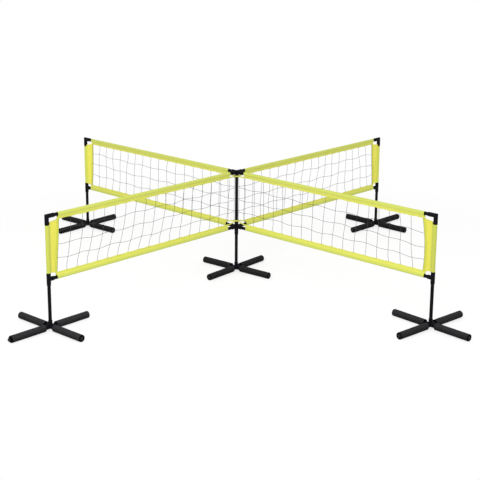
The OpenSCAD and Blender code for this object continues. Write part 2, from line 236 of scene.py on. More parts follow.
# %% [markdown]
# ## A pale studio
# A plain white floor would light the undersides too strongly, and a grey one would look dull. So the
# camera sees the floor a little whiter than it is for the light that it throws back: it is mostly
# plain white near the object, where the rest of it takes the shadow, and wholly white further out.

# %% Floor
FLOOR_SIZE = 120
FLOOR_WHITE = 0.72
SHADOW_ENDS = (2.6, 3.6)
FLOOR_TONE = (0.88, 0.88, 0.88, 1)
PAPER_TONE = (1.0, 1.0, 1.0, 1)

paper = Finish("paper", Roughness=1.0)
rays = paper.tree.nodes.new("ShaderNodeLightPath").outputs
camera_ray, glossy_ray, clear_ray = [
    Wire(paper, rays[kind]) for kind in ("Is Camera Ray", "Is Glossy Ray", "Is Transmission Ray")
]
paper.wire(Base_Color=paper.blend(camera_ray, FLOOR_TONE, PAPER_TONE))
distance = paper.node("ShaderNodeVectorMath", {"operation": "LENGTH"}, {0: paper.place()}, out="Value")
white = paper.node("ShaderNodeEmission", sockets={"Color": (1, 1, 1, 1), "Strength": 1.0})
whiteness = distance.step(*SHADOW_ENDS) * (1 - FLOOR_WHITE) + FLOOR_WHITE
seen_white = paper.node(
    "ShaderNodeMixShader",
    sockets={
        0: (camera_ray + glossy_ray + clear_ray) * whiteness,
        1: Wire(paper, paper.shader.outputs[0]),
        2: white,
    },
)
paper.tree.links.new(seen_white.socket, paper.tree.nodes["Material Output"].inputs["Surface"])

floor_mesh = bpy.data.meshes.new("floor")
floor_shape = bmesh.new()
bmesh.ops.create_grid(floor_shape, x_segments=1, y_segments=1, size=FLOOR_SIZE / 2)
floor_shape.to_mesh(floor_mesh)
floor_shape.free()
floor_mesh.materials.append(paper.material)
floor = bpy.data.objects.new("floor", floor_mesh)
bpy.context.scene.collection.objects.link(floor)
print("floor", FLOOR_SIZE, "m wide")

# %% [markdown]
# An even white sky lights the object softly from all sides, and one large lamp, high in front and a
# little to the left, gives the foam and the tubes a brighter top. A small lamp would cast hard shadows.

# %% Sky and lamp
SKY_STRENGTH = 0.84
LAMP_PLACE = (-4.2, -2.6, 4.0)
LAMP_SIZE = 5
LAMP_POWER = 170

world = bpy.data.worlds.new("studio")
bpy.context.scene.world = world
world.use_nodes = True
sky = world.node_tree.nodes
links = world.node_tree.links
sky_rays = sky.new("ShaderNodeLightPath")
lit = sky["Background"]
lit.inputs["Color"].default_value = (1, 1, 1, 1)
lit.inputs["Strength"].default_value = SKY_STRENGTH
plain = sky.new("ShaderNodeBackground")
plain.inputs["Color"].default_value = (1, 1, 1, 1)
either = sky.new("ShaderNodeMath")
either.operation = "MAXIMUM"
links.new(sky_rays.outputs["Is Camera Ray"], either.inputs[0])
links.new(sky_rays.outputs["Is Transmission Ray"], either.inputs[1])
backdrop = sky.new("ShaderNodeMixShader")
links.new(either.outputs[0], backdrop.inputs[0])
links.new(lit.outputs[0], backdrop.inputs[1])
links.new(plain.outputs[0], backdrop.inputs[2])
links.new(backdrop.outputs[0], sky["World Output"].inputs["Surface"])

softbox = bpy.data.lights.new("softbox", "AREA")
softbox.shape = "SQUARE"
softbox.size = LAMP_SIZE
softbox.energy = LAMP_POWER
softbox_lamp = bpy.data.objects.new("softbox", softbox)
bpy.context.scene.collection.objects.link(softbox_lamp)
softbox_lamp.location = LAMP_PLACE
softbox_lamp.rotation_mode = "QUATERNION"
softbox_lamp.rotation_quaternion = (-softbox_lamp.location).to_track_quat("-Z", "Y")
print("sky", SKY_STRENGTH, "lamp", LAMP_POWER, "W")

# %% [markdown]
# ## Hard finishes
# The tubes are steel, powder-coated black: the powder melts into a faint orange peel, half glossy.
# One even black would look like a drawing, so three noises of different sizes give the peel, a cloudy
# tone and the scuffs, which only show where the cloud lets them.

# %% Powder-coated steel
STEEL_BLACKS = (0.0030, 0.0030, 0.0032, 1), (0.0060, 0.0060, 0.0063, 1)
STEEL_WORN = (0.030, 0.030, 0.031, 1)


def powder_coat():
    finish = Finish("powder_coated_steel", Specular_IOR_Level=0.06)
    place = finish.place()
    peel = finish.noise(place, 650, 2)
    cloud = finish.noise(place, 14, 5, 0.6)
    rub = finish.noise(place, 95, 6, 0.75).step(0.60, 0.72)
    worn = rub * cloud.step(0.48, 0.62)
    tone = finish.blend(cloud, *STEEL_BLACKS)
    finish.wire(
        Base_Color=finish.blend(worn * 0.55, tone, STEEL_WORN),
        Roughness=0.36 + cloud * 0.12 + worn * 0.22,
        Normal=finish.bump(peel + worn * 0.5, 0.00009),
    )
    return finish


def give_finish(nodes, finish):
    for node in nodes:
        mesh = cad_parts[node].data
        mesh.materials.clear()
        mesh.materials.append(finish.material)


steel_nodes = [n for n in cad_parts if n.endswith(("_pole", "_rail", "_leg_tubes"))]
give_finish(steel_nodes, powder_coat())
print("steel nodes:", len(steel_nodes))

# %% [markdown]
# The fittings are moulded black plastic, slightly bluer than the tubes, with the fine grain that a
# sparked mould leaves: small Voronoi cells. The leg caps are the same plastic, painted lighter grey
# as a painted highlight.

# %% Moulded plastic
FITTING_BLACKS = (0.0030, 0.0030, 0.0052, 1), (0.0058, 0.0058, 0.0092, 1)
# Painted highlight: the leg caps' blacks are lighter, standing in for a glint on their ends.
CAP_GLINT_BLACKS = (0.0150, 0.0150, 0.0170, 1), (0.0260, 0.0260, 0.0290, 1)
PLASTIC_SCUFF = (0.035, 0.035, 0.042, 1)


def moulded_plastic(name, blacks):
    finish = Finish(name, Specular_IOR_Level=0.06)
    place = finish.place()
    grain = finish.node("ShaderNodeTexVoronoi", sockets={"Vector": place, "Scale": 1100.0})
    flow = finish.noise(place, 30, 4, 0.55)
    scuff = finish.noise(place, 210, 5, 0.7).step(0.62, 0.74)
    tone = finish.blend(flow, *blacks)
    finish.wire(
        Base_Color=finish.blend(scuff * 0.35, tone, PLASTIC_SCUFF),
        Roughness=0.47 + flow * 0.14 + scuff * 0.12,
        Normal=finish.bump(grain + scuff * 0.4, 0.00012),
    )
    return finish


plastic_nodes = [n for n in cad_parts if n.endswith(("_hub", "_cross", "_elbow", "_tee"))]
cap_nodes = [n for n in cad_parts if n.endswith("_leg_caps")]
give_finish(plastic_nodes, moulded_plastic("moulded_black_plastic", FITTING_BLACKS))
give_finish(cap_nodes, moulded_plastic("cap_glint_plastic", CAP_GLINT_BLACKS))
print("plastic nodes:", len(plastic_nodes), "cap nodes:", len(cap_nodes))

# %% [markdown]
# ## From a shape to a piece
# Every soft piece ends the same way: its bmesh becomes a mesh with a finish, rides on the body that
# carries it, and stands for the CAD node that it replaces, which is hidden.


# %% Finish a piece
def make_piece(shape, name, finish, body, node, sharp=None):
    """Turns a bmesh into a piece. Edges steeper than sharp, in degrees, stay crisp."""
    mesh = bpy.data.meshes.new(name)
    shape.to_mesh(mesh)
    shape.free()
    mesh.shade_smooth()
    if sharp:
        mesh.set_sharp_from_angle(angle=math.radians(sharp))
    mesh.materials.append(finish.material)
    piece = bpy.data.objects.new(name, mesh)
    bpy.context.scene.collection.objects.link(piece)
    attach(piece, body)
    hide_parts(node)
    return piece


soft_nodes = [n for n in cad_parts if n.endswith(("_foam_sleeves", "_sleeves", "_net", "_ring"))]
print("CAD nodes to be replaced:", len(soft_nodes))

# %% [markdown]
# ## Foam on the legs
# Each leg wears a sleeve of closed-cell foam, cut from a long round tube. Its skin is pitted, and the
# pits are painted darker, as painted shade. Its upper side is painted lighter, as painted top light,
# so the tone rises with height. The foam of the west and south bases is painted palest and that of the
# other three darker, as painted light. The cut ends are darker than the skin, with painted shade in
# their open cells. An image texture could give the pits too, but Voronoi cells need no map and look
# the same all round the sleeve.

# %% Foam finish
FOAM_DARK = (0.0096, 0.0094, 0.0107, 1)
FOAM_LIGHT = (0.0176, 0.0173, 0.0196, 1)
FOAM_PIT_SHADE = (0.0070, 0.0070, 0.0080, 1)
FOAM_TOP_LIGHT = (0.090, 0.089, 0.094, 1)
TOP_LIGHT_HEIGHTS = (0.012, 0.050)
# Painted light: the near west and south bases' foam is painted paler, and the far three darker.
FOAM_LIGHT_SHARES = {"centre": 0.66, "east": 0.54, "north": 0.60, "west": 1.0, "south": 0.90}
CELL_SHADE = (0.0012, 0.0012, 0.0014, 1)
CELL_WALL = (0.0060, 0.0059, 0.0066, 1)


def toned(colour, share):
    """A colour with its light multiplied by a share."""
    return (*(part * share for part in colour[:3]), 1)


def cut_foam():
    """A cut end, where the cells lie open and hold the light: their hollows are painted darker, as painted
    shade, and it has no painted top light.
    """
    finish = Finish("cut_foam", Specular_IOR_Level=0.02)
    place = finish.place()
    cells = finish.node("ShaderNodeTexVoronoi", sockets={"Vector": place, "Scale": 600.0})
    walls = cells.step(0.35, 0.65)
    finish.wire(
        # Painted shade: the open cells' hollows are painted near black, and their walls lighter.
        Base_Color=finish.blend(walls, CELL_SHADE, CELL_WALL),
        Roughness=0.85 + walls * 0.1,
        Normal=finish.bump(walls, 0.0005),
    )
    return finish


def foam_skin(name, tone_share):
    finish = Finish(name, Specular_IOR_Level=0.08)
    place = finish.place()
    cells = finish.node("ShaderNodeTexVoronoi", sockets={"Vector": place, "Scale": 420.0})
    # Painted shade: the pits' hollows are painted darker than the skin round them.
    pits = cells.step(0.10, 0.45)
    fine = finish.noise(place, 1500, 2)
    mottle = finish.noise(place, 75, 5, 0.62)
    dark, light = toned(FOAM_DARK, tone_share), toned(FOAM_LIGHT, tone_share)
    tone = finish.blend(mottle.step(0.32, 0.70), dark, light)
    # Painted top light: the skin is painted lighter towards its top, by height.
    height = finish.split(place)[2]
    top_light = height.step(*TOP_LIGHT_HEIGHTS) * (mottle * 0.18 + 0.15)
    top_lit = finish.blend(top_light, tone, toned(FOAM_TOP_LIGHT, tone_share))
    finish.wire(
        Base_Color=finish.blend(pits, toned(FOAM_PIT_SHADE, tone_share), top_lit),
        Roughness=0.78 + fine * 0.2,
        Normal=finish.bump(pits + fine * 0.35 + mottle * 0.5, 0.0005),
    )
    return finish


skins = {post: foam_skin(f"{post}_charcoal_foam", share) for post, share in FOAM_LIGHT_SHARES.items()}
foam_cut = cut_foam()
print("foam finishes:", [skin.material.name for skin in skins.values()], foam_cut.material.name)

# %% [markdown]
# A sleeve is turned, not drawn: its section is four points, spun round the leg, and the bevel operator
# rounds the rims of the two cuts. Cuts along its length give the noise something to move: the foam
# dents where it is gripped, by half a millimetre. One leg of the west base has been pulled out a little.

# %% Foam sleeves
FOAM_R = 0.026
FOAM_BORE_R = TUBE_R + 0.0001
FOAM_INNER = 0.047
FOAM_OUTER = 0.340
INNER_ROUND = 0.0040
OUTER_ROUND = 0.0022
LOOSE_LEG = ("west", 180)
LOOSE_SHIFT = 0.003
LONG_EDGE = 0.1
FOAM_RINGS = 34
CUT_LEAN = 0.5
SKIN_FROM = 0.7
BROAD_DENT = 0.0006
BROAD_DENTS_PER_METRE = 22
SMALL_DENT = 0.00025
SMALL_DENTS_PER_METRE = 90


def on_rim(vert, rim_x):
    """True on the round edge where the skin meets a cut end."""
    return abs(math.hypot(vert.co.y, vert.co.z) - FOAM_R) + abs(vert.co.x - rim_x) < 1e-5


def foam_sleeve(post, angle, finish, cut_finish):
    shift = LOOSE_SHIFT if (post, angle) == LOOSE_LEG else 0
    start, end = FOAM_INNER + shift, FOAM_OUTER + shift
    shape = bmesh.new()
    profile = [(start, FOAM_BORE_R), (start, FOAM_R), (end, FOAM_R), (end, FOAM_BORE_R)]
    corners = [shape.verts.new((along, 0, out)) for along, out in profile]
    sides = [shape.edges.new((corners[i - 1], corners[i])) for i in range(len(corners))]
    bmesh.ops.spin(
        shape,
        geom=corners + sides,
        cent=(0, 0, 0),
        axis=(1, 0, 0),
        angle=math.tau,
        steps=48,
        use_merge=True,
    )
    for rim_x, offset in ((start, INNER_ROUND), (end, OUTER_ROUND)):
        rim = [edge for edge in shape.edges if all(on_rim(vert, rim_x) for vert in edge.verts)]
        bmesh.ops.bevel(
            shape,
            geom=rim,
            offset=offset,
            segments=4,
            profile=0.5,
            affect="EDGES",
            material=-1,
        )
    long_edges = [e for e in shape.edges if abs(e.verts[0].co.x - e.verts[1].co.x) > LONG_EDGE]
    bmesh.ops.subdivide_edges(shape, edges=long_edges, cuts=FOAM_RINGS, use_grid_fill=True)
    bmesh.ops.recalc_face_normals(shape, faces=shape.faces)
    for face in shape.faces:
        face.material_index = int(abs(face.normal.x) > CUT_LEAN)
    seed = Vector((POSTS.index(post) * 7.3, angle * 0.11, 0))
    for vert in shape.verts:
        out = Vector((0, vert.co.y, vert.co.z))
        if out.length > FOAM_R * SKIN_FROM:
            dent = noise.noise(vert.co * BROAD_DENTS_PER_METRE + seed) * BROAD_DENT
            dent += noise.noise(vert.co * SMALL_DENTS_PER_METRE + seed) * SMALL_DENT
            vert.co += out.normalized() * dent
    turn = Matrix.Rotation(math.radians(BASE_TURNS[post] + angle), 3, "Z")
    bmesh.ops.rotate(shape, verts=shape.verts, cent=(0, 0, 0), matrix=turn)
    hub = middle(f"{post}_lower_pole")
    bmesh.ops.translate(shape, verts=shape.verts, vec=(hub.x, hub.y, LEG_Z))
    for vert in shape.verts:
        vert.co.z = max(vert.co.z, 0)
    name = f"{post}_foam_{angle // 90 + 1}"
    piece = make_piece(shape, name, finish, f"{post}_base", f"{post}_foam_sleeves", sharp=50)
    piece.data.materials.append(cut_finish.material)
    return piece


foams = [
    foam_sleeve(post, angle, skins[post], foam_cut)
    for post in POSTS
    for angle in (0, 90, 180, 270)
]
print("foam sleeves:", len(foams), "each", len(foams[0].data.polygons), "faces")

# %% [markdown]
# ## The sleeves' cloth
# The lime sleeves are plain-woven polyester. Two sets of sines give the weave, and rows of dashes
# give the stitches. The thin cloth lets light through, so it is warm and bright where it hangs free,
# greener and deeper over a black tube, and deeper in the side sleeve's doubled hem. The side sleeves
# of the east and north nets are painted paler than the other two, and the south one a little darker,
# as painted light.
# The UV map's first number runs along the sleeve, and the second is the distance from its hem.

# %% Cloth finish
RAIL_FREE = (0.680, 0.688, 0.114, 1)
RAIL_OVER_TUBE = (0.568, 0.612, 0.114, 1)
SIDE_FREE = (0.735, 0.690, 0.094, 1)
SIDE_OVER_TUBE = (0.530, 0.565, 0.088, 1)
# Painted light: lit and shaded copies of one side cloth, paler on the east and north nets.
SIDE_LIGHT_SHARES = {"east": 1.15, "north": 1.17, "west": 1.0, "south": 0.95}
LIME_DEEP = (0.430, 0.490, 0.045, 1)
THREAD = (0.560, 0.575, 0.085, 1)
WEAVE_PITCH = 0.0011
STITCH_PITCH = 0.0036
STITCH_ROWS = (0.0035, 0.0125)
RAIL_TUBE_FROM = (0.020, 0.034)
POST_TUBE_FROM = (ARM - 0.034, ARM - 0.012)
SIDE_HEM = 0.020
SIDE_HEM_DEPTH = 0.48


def over_rail(finish, inward):
    """1 where a rail sleeve lies on its tube, by the distance from its hem."""
    return inward.step(*RAIL_TUBE_FROM)


def over_post(finish, inward):
    """1 where a side sleeve lies on its post, by the distance from the centre post."""
    x, y = finish.split(finish.place())[:2]
    return abs(x).greater(abs(y)).step(*POST_TUBE_FROM)


def woven_cloth(name, free, over_tube, tube_mask, hem_width=0.0, hem_depth=0.0):
    finish = Finish(name, Roughness=0.8, Specular_IOR_Level=0.15, Sheen_Weight=0.1)
    along, inward = finish.split(finish.node("ShaderNodeUVMap"))[:2]
    turns = math.tau / WEAVE_PITCH
    weave = (along * turns).sine() * (inward * turns).sine()
    dashes = (along * (math.tau / STITCH_PITCH)).sine().step(-0.35, 0.1)
    lines = [abs(inward - row).step(0.0007, 0.0003) for row in STITCH_ROWS]
    stitches = (lines[0] + lines[1]) * dashes
    place = finish.place()
    cloud = finish.noise(place, 9, 4, 0.6)
    pucker = finish.noise(place, 160, 2)
    drag = inward.step(0.03, 0.0)
    hem = inward.step(hem_width + 0.0006, hem_width - 0.0006) * hem_depth
    lime = finish.blend(tube_mask(finish, inward), free, over_tube)
    tone = finish.blend(hem + cloud * 0.16, lime, LIME_DEEP)
    finish.wire(
        Base_Color=finish.blend(stitches * 0.8, tone, THREAD),
        Roughness=0.74 + weave * 0.06,
        Normal=finish.bump(
            weave * 0.09 + stitches * 0.4 + pucker * drag * 0.8 + finish.noise(place, 40, 3) * 0.7,
            0.0009,
        ),
    )
    return finish


def side_cloth(arm):
    free = toned(SIDE_FREE, SIDE_LIGHT_SHARES[arm])
    over_tube = toned(SIDE_OVER_TUBE, SIDE_LIGHT_SHARES[arm])
    name = f"lime_{arm}_side_cloth"
    return woven_cloth(name, free, over_tube, over_post, SIDE_HEM, SIDE_HEM_DEPTH)


rail_cloth = woven_cloth("lime_rail_cloth", RAIL_FREE, RAIL_OVER_TUBE, over_rail)
side_cloths = {arm: side_cloth(arm) for arm in SIDE_LIGHT_SHARES}
print("cloths:", rail_cloth.material.name, [cloth.material.name for cloth in side_cloths.values()])

# %% [markdown]
# ## Rail sleeves
# Cloth starts as a flat grid, as it does on the cutting table. Its UV map is drawn there, in metres,
# and then each vertex is laid where the sewn piece has it, so the weave and the stitches follow. An
# unwrap of the finished shape would stretch them.


# %% Lay a grid
def lay_grid(shape, columns, rows, lay):
    """Adds a grid to a bmesh. lay(column, row) gives a vertex's place and its flat place on the cloth."""
    across, up = len(columns) - 1, len(rows) - 1
    new = bmesh.ops.create_grid(shape, x_segments=across, y_segments=up, size=1)["verts"]
    flat = {}
    for vert in new:
        column = columns[round((vert.co.x + 1) / 2 * across)]
        row = rows[round((vert.co.y + 1) / 2 * up)]
        vert.co, flat[vert] = lay(column, row)
    cloth_map = shape.loops.layers.uv.verify()
    for face in {face for vert in new for face in vert.link_faces}:
        for loop in face.loops:
            loop[cloth_map].uv = flat[loop.vert]
    return new


def spaced(start, end, pitch):
    """Even steps from start to end, near a pitch apart."""
    steps = max(1, round(abs(end - start) / pitch))
    return [mix(start, end, i / steps) for i in range(steps + 1)]


print("10 mm in steps near 3.5 mm:", [round(step, 4) for step in spaced(0, 0.010, 0.0035)])

# %% [markdown]
# A rail sleeve is one strip of cloth, folded over its tube and sewn to itself below it, so that its
# section is a drop: round over the tube, straight where the two layers come together, flat in the hem.
# A modifier could bend a grid round a curve, but a drop wrapped by arc length keeps the cloth's width.

# %% The drop-shaped section
LOOP_R = TUBE_R + 0.0009
SEAM_DOWN = 0.0275
LAYER_GAP = 0.0005


def drop_half(seam_down):
    """Lengths of the round part and of the straight part of half a drop, and where the round part ends."""
    far = math.hypot(LAYER_GAP, seam_down)
    turn = math.pi - math.acos(LOOP_R / far) - math.atan2(LAYER_GAP, seam_down)
    return LOOP_R * turn, math.sqrt(far * far - LOOP_R * LOOP_R), turn


ROUND_PART, STRAIGHT_PART, LEAVES_AT = drop_half(SEAM_DOWN)
DROP_HALF = ROUND_PART + STRAIGHT_PART


def drop_point(distance):
    """(sideways, down) at a distance along half of the drop from the top of its loop."""
    if distance < ROUND_PART:
        turn = distance / LOOP_R
        return LOOP_R * math.sin(turn), -LOOP_R * math.cos(turn)
    leave = (LOOP_R * math.sin(LEAVES_AT), -LOOP_R * math.cos(LEAVES_AT))
    t = (distance - ROUND_PART) / STRAIGHT_PART
    if t < 1:
        return mix(leave[0], LAYER_GAP, t), mix(leave[1], SEAM_DOWN, t)
    return LAYER_GAP, SEAM_DOWN + distance - DROP_HALF


print("cloth round a tube, seam to seam:", round(2 * DROP_HALF, 4))

# %% [markdown]
# The upright cords have slid along the hems that they are sewn into, and the hems wave from side to
# side. A cloth simulation could find both, but here they follow a few numbers for each hem, so that the
# cords, modelled further down, can ask the same functions where their hems are.

# %% How the hems lie
FIRST_UPRIGHT = 0.090
PITCH = 0.100
CORD_PRINT = 0.0045
BROAD_SWAY = 0.0030
SMALL_SWAY = 0.0011
HEM_SEEDS = {"top": -3.1, "bottom": 3.1}

# How far the upright cords have slid outwards along a hem at most, at which place, over what width
SLIDES = {
    "east": {"top": (0.046, 0.95, 0.50), "bottom": (0.060, 1.65, 0.35)},
    "north": {"top": (0.033, 1.10, 0.50), "bottom": (0.065, 1.15, 0.65)},
    "west": {"top": (-0.010, 1.15, 0.50), "bottom": (0.080, 1.15, 0.80)},
    "south": {"top": (0.042, 1.15, 0.35), "bottom": (0.037, 1.75, 0.45)},
}


def slide(arm, level, along):
    most, place, width = SLIDES[arm][level]
    return most * math.exp(-(((along - place) / width) ** 2))


def unslid(arm, level, along):
    """The place along the flat mesh that has slid to a place along the hem."""
    return along - slide(arm, level, along - slide(arm, level, along))


def near_cord(unslid_along):
    """1 at an upright cord, falling to 0 a few millimetres to each side."""
    off = (unslid_along - FIRST_UPRIGHT + PITCH / 2) % PITCH - PITCH / 2
    return math.exp(-((off / CORD_PRINT) ** 2))


def hem_seed(arm, level):
    return ARM_ANGLES[arm] * 0.173 + HEM_SEEDS[level]


def hem_sway(arm, level, along):
    """How far to the side a rail sleeve's hem waves."""
    seed = hem_seed(arm, level)
    broad = noise.noise(Vector((along * 2.3, 0.5, seed))) * BROAD_SWAY
    return broad + noise.noise(Vector((along * 9, 2.5, seed))) * SMALL_SWAY


print("top hems' slides halfway out:", [round(slide(arm, "top", ARM / 2), 3) for arm in SLIDES])

# %% [markdown]
# Each cord presses a small bulge into its hem and pulls the hem a little towards the mesh, and between
# two cords it springs back, so a long hem is scalloped. The sleeve's ends are folded in and sewn, and
# cut on a slant. The grid stays single, and a Solidify modifier gives the cloth its thickness.

# %% Rail sleeves
TOP_SLEEVE = {
    "start": 0.087, "end": ARM - 0.092, "corner_run": 0.008, "depth": 0.037, "height": TOP_Z, "down": -1,
}
BOTTOM_SLEEVE = {
    "start": 0.110, "end": ARM - 0.070, "corner_run": 0.013, "depth": 0.038, "height": BOTTOM_Z, "down": 1,
}
CLOTH = 0.0007
LOOP_STEP = 0.0028
STRAIGHT_STEP = 0.004
HEM_STEP = 0.0034
RING_PITCH = 0.005
CENTRE_RUN = 0.010
RUN_SHARE = 0.35
SLANT_REACH = 0.200
END_REACH = 0.06
END_FOLD = 0.009
FOLD_EDGE = 0.001
TURNED_IN = 0.0004
LOOSE = 0.0009
TIGHTEST = -0.0002
SCALLOP = 0.0011
CORD_BULGE = 0.0007


def turn_to_arm(shape, arm):
    turn = Matrix.Rotation(math.radians(ARM_ANGLES[arm]), 3, "Z")
    bmesh.ops.rotate(shape, verts=shape.verts, cent=(0, 0, 0), matrix=turn)


def rail_sleeve(arm, level, cut):
    half_width = DROP_HALF + cut["depth"] - SEAM_DOWN
    seed = hem_seed(arm, level)
    half_rows = spaced(0, ROUND_PART, LOOP_STEP)[:-1]
    half_rows += spaced(ROUND_PART, DROP_HALF, STRAIGHT_STEP)[:-1]
    half_rows += spaced(DROP_HALF, half_width, HEM_STEP)
    rows = [-row for row in reversed(half_rows[1:])] + half_rows
    length = cut["end"] - cut["start"]
    folds = [0, FOLD_EDGE, END_FOLD - FOLD_EDGE]
    columns = folds + spaced(END_FOLD, length - END_FOLD, RING_PITCH)
    columns += [length - fold for fold in reversed(folds)]

    def lay(column, row):
        side, down = drop_point(abs(row))
        slant = max(0, (down - TUBE_R) / (cut["depth"] - TUBE_R))
        along = cut["start"] + column
        along -= CENTRE_RUN * slant * max(0, 1 - column / SLANT_REACH)
        along += cut["corner_run"] * slant * max(0, 1 - (length - column) / SLANT_REACH)
        flat = (along, half_width - abs(row))
        hang = smooth(0.0, cut["depth"], down)
        ends = smooth(0, END_REACH, column) * smooth(0, END_REACH, length - column)
        loose = noise.noise(Vector((along * 7, row * 30, seed))) * LOOSE * ends
        folded = TURNED_IN * smooth(END_FOLD, END_FOLD - 0.002, min(column, length - column))
        knotted = unslid(arm, level, along)
        side += max(loose, TIGHTEST) + folded + hang * hang * near_cord(knotted) * CORD_BULGE
        sway = hem_sway(arm, level, along)
        scallop = math.cos(math.tau * (knotted - FIRST_UPRIGHT) / PITCH) * SCALLOP
        scallop += noise.noise(Vector((along * 5, 7.5, seed))) * SCALLOP
        down += hang * hang * scallop * ends
        if down < 0:
            down -= folded
        place = Vector((along, math.copysign(side, row) + sway * hang, cut["height"] + cut["down"] * down))
        return place, flat

    shape = bmesh.new()
    lay_grid(shape, columns, rows, lay)
    if cut["down"] < 0:
        bmesh.ops.reverse_faces(shape, faces=shape.faces)
    turn_to_arm(shape, arm)
    name = f"{arm}_{level}_sleeve"
    piece = make_piece(shape, name, rail_cloth, "frame", f"{arm}_net_sleeves")
    wall = piece.modifiers.new("cloth", "SOLIDIFY")
    wall.thickness = CLOTH
    wall.offset = 0
    run = length + (CENTRE_RUN + cut["corner_run"]) * RUN_SHARE
    2 * half_width
    return piece


rail_sleeves = [
    rail_sleeve(arm, level, cut)
    for arm in ARM_ANGLES
    for level, cut in (("top", TOP_SLEEVE), ("bottom", BOTTOM_SLEEVE))
]
print("rail sleeves:", len(rail_sleeves), "the first has", len(rail_sleeves[0].data.polygons), "faces")

# %% [markdown]
# ## Side sleeves
# The side sleeve slides over the outer post and pulls the net's short edge out. It is wider at its
# top, and its doubled hem runs down the mesh. Its upper cut passes below the elbow, then climbs beside
# the elbow's socket. Functions of height and distance give its edges, as a pattern does for a sewer.

# %% The side sleeves' edges
# Width at the top hem, width at the bottom hem, and how far the mesh edge bows out between them
SIDE_WIDTHS = {
    "east": (0.104, 0.079, 0.0),
    "north": (0.104, 0.084, 0.004),
    "west": (0.102, 0.074, 0.002),
    "south": (0.105, 0.086, -0.016),
}
SIDE_GAP = 0.002
SIDE_CUT_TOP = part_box("east_elbow")[0].z - SIDE_GAP
SIDE_CUT_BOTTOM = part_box("east_tee")[1].z + SIDE_GAP
BESIDE_SOCKET = SOCKET_R + SIDE_GAP
TOP_HEM_Z = TOP_Z - TOP_SLEEVE["depth"]
BOTTOM_HEM_Z = BOTTOM_Z + BOTTOM_SLEEVE["depth"]
TOP_CORNER = 0.084
CORNER_DROP = 0.011
BOTTOM_CORNER = 0.057
EDGE_WAVE = 0.0018


def side_width(arm, share):
    """Width of the side sleeve from the post, from the top hem at 0 to the bottom one at 1."""
    top, bottom, bow = SIDE_WIDTHS[arm]
    return mix(top, bottom, share) + bow * 4 * share * (1 - share)


def upper_cut(down):
    if down < BESIDE_SOCKET:
        return SIDE_CUT_TOP
    return TOP_HEM_Z - CORNER_DROP * max(0, (TOP_CORNER - down) / (TOP_CORNER - BESIDE_SOCKET))


def lower_cut(down):
    t = (BOTTOM_CORNER - down) / (BOTTOM_CORNER - LOOP_R)
    return mix(BOTTOM_HEM_Z, SIDE_CUT_BOTTOM, min(max(t, 0), 1))


def side_seed(arm):
    return ARM_ANGLES[arm] * 0.211 + 9.7


def edge_wave(arm, z):
    """How far the mesh edge of a side sleeve waves outwards."""
    return noise.noise(Vector((z * 9, 3.3, side_seed(arm)))) * EDGE_WAVE


print("widths halfway down:", [round(side_width(arm, 0.5), 4) for arm in SIDE_WIDTHS])

# %% [markdown]
# Its section is the drop of the rail sleeves, with a web whose width changes with height between the
# loop and the hem. Slow noise folds the web, a little air keeps its two layers apart, and the hem
# is thicker where the cloth lies double.

# %% Side sleeves
CUT_REACH = 0.2
FOLD = 0.0034
RIPPLE = 0.0016
AIR = 0.0016
DOUBLED = 0.0006
SIDE_SLACK = 0.0006
WEB_STEP = 0.07
HEM_ROWS = (0.0192, 0.0155, 0.0115, 0.0075, 0.0035, 0.001, 0)
NOTCH_HALF = 0.0004
SIDE_FOLDS = (0, 0.003, 0.022, 0.025)
SIDE_STEP = 0.013


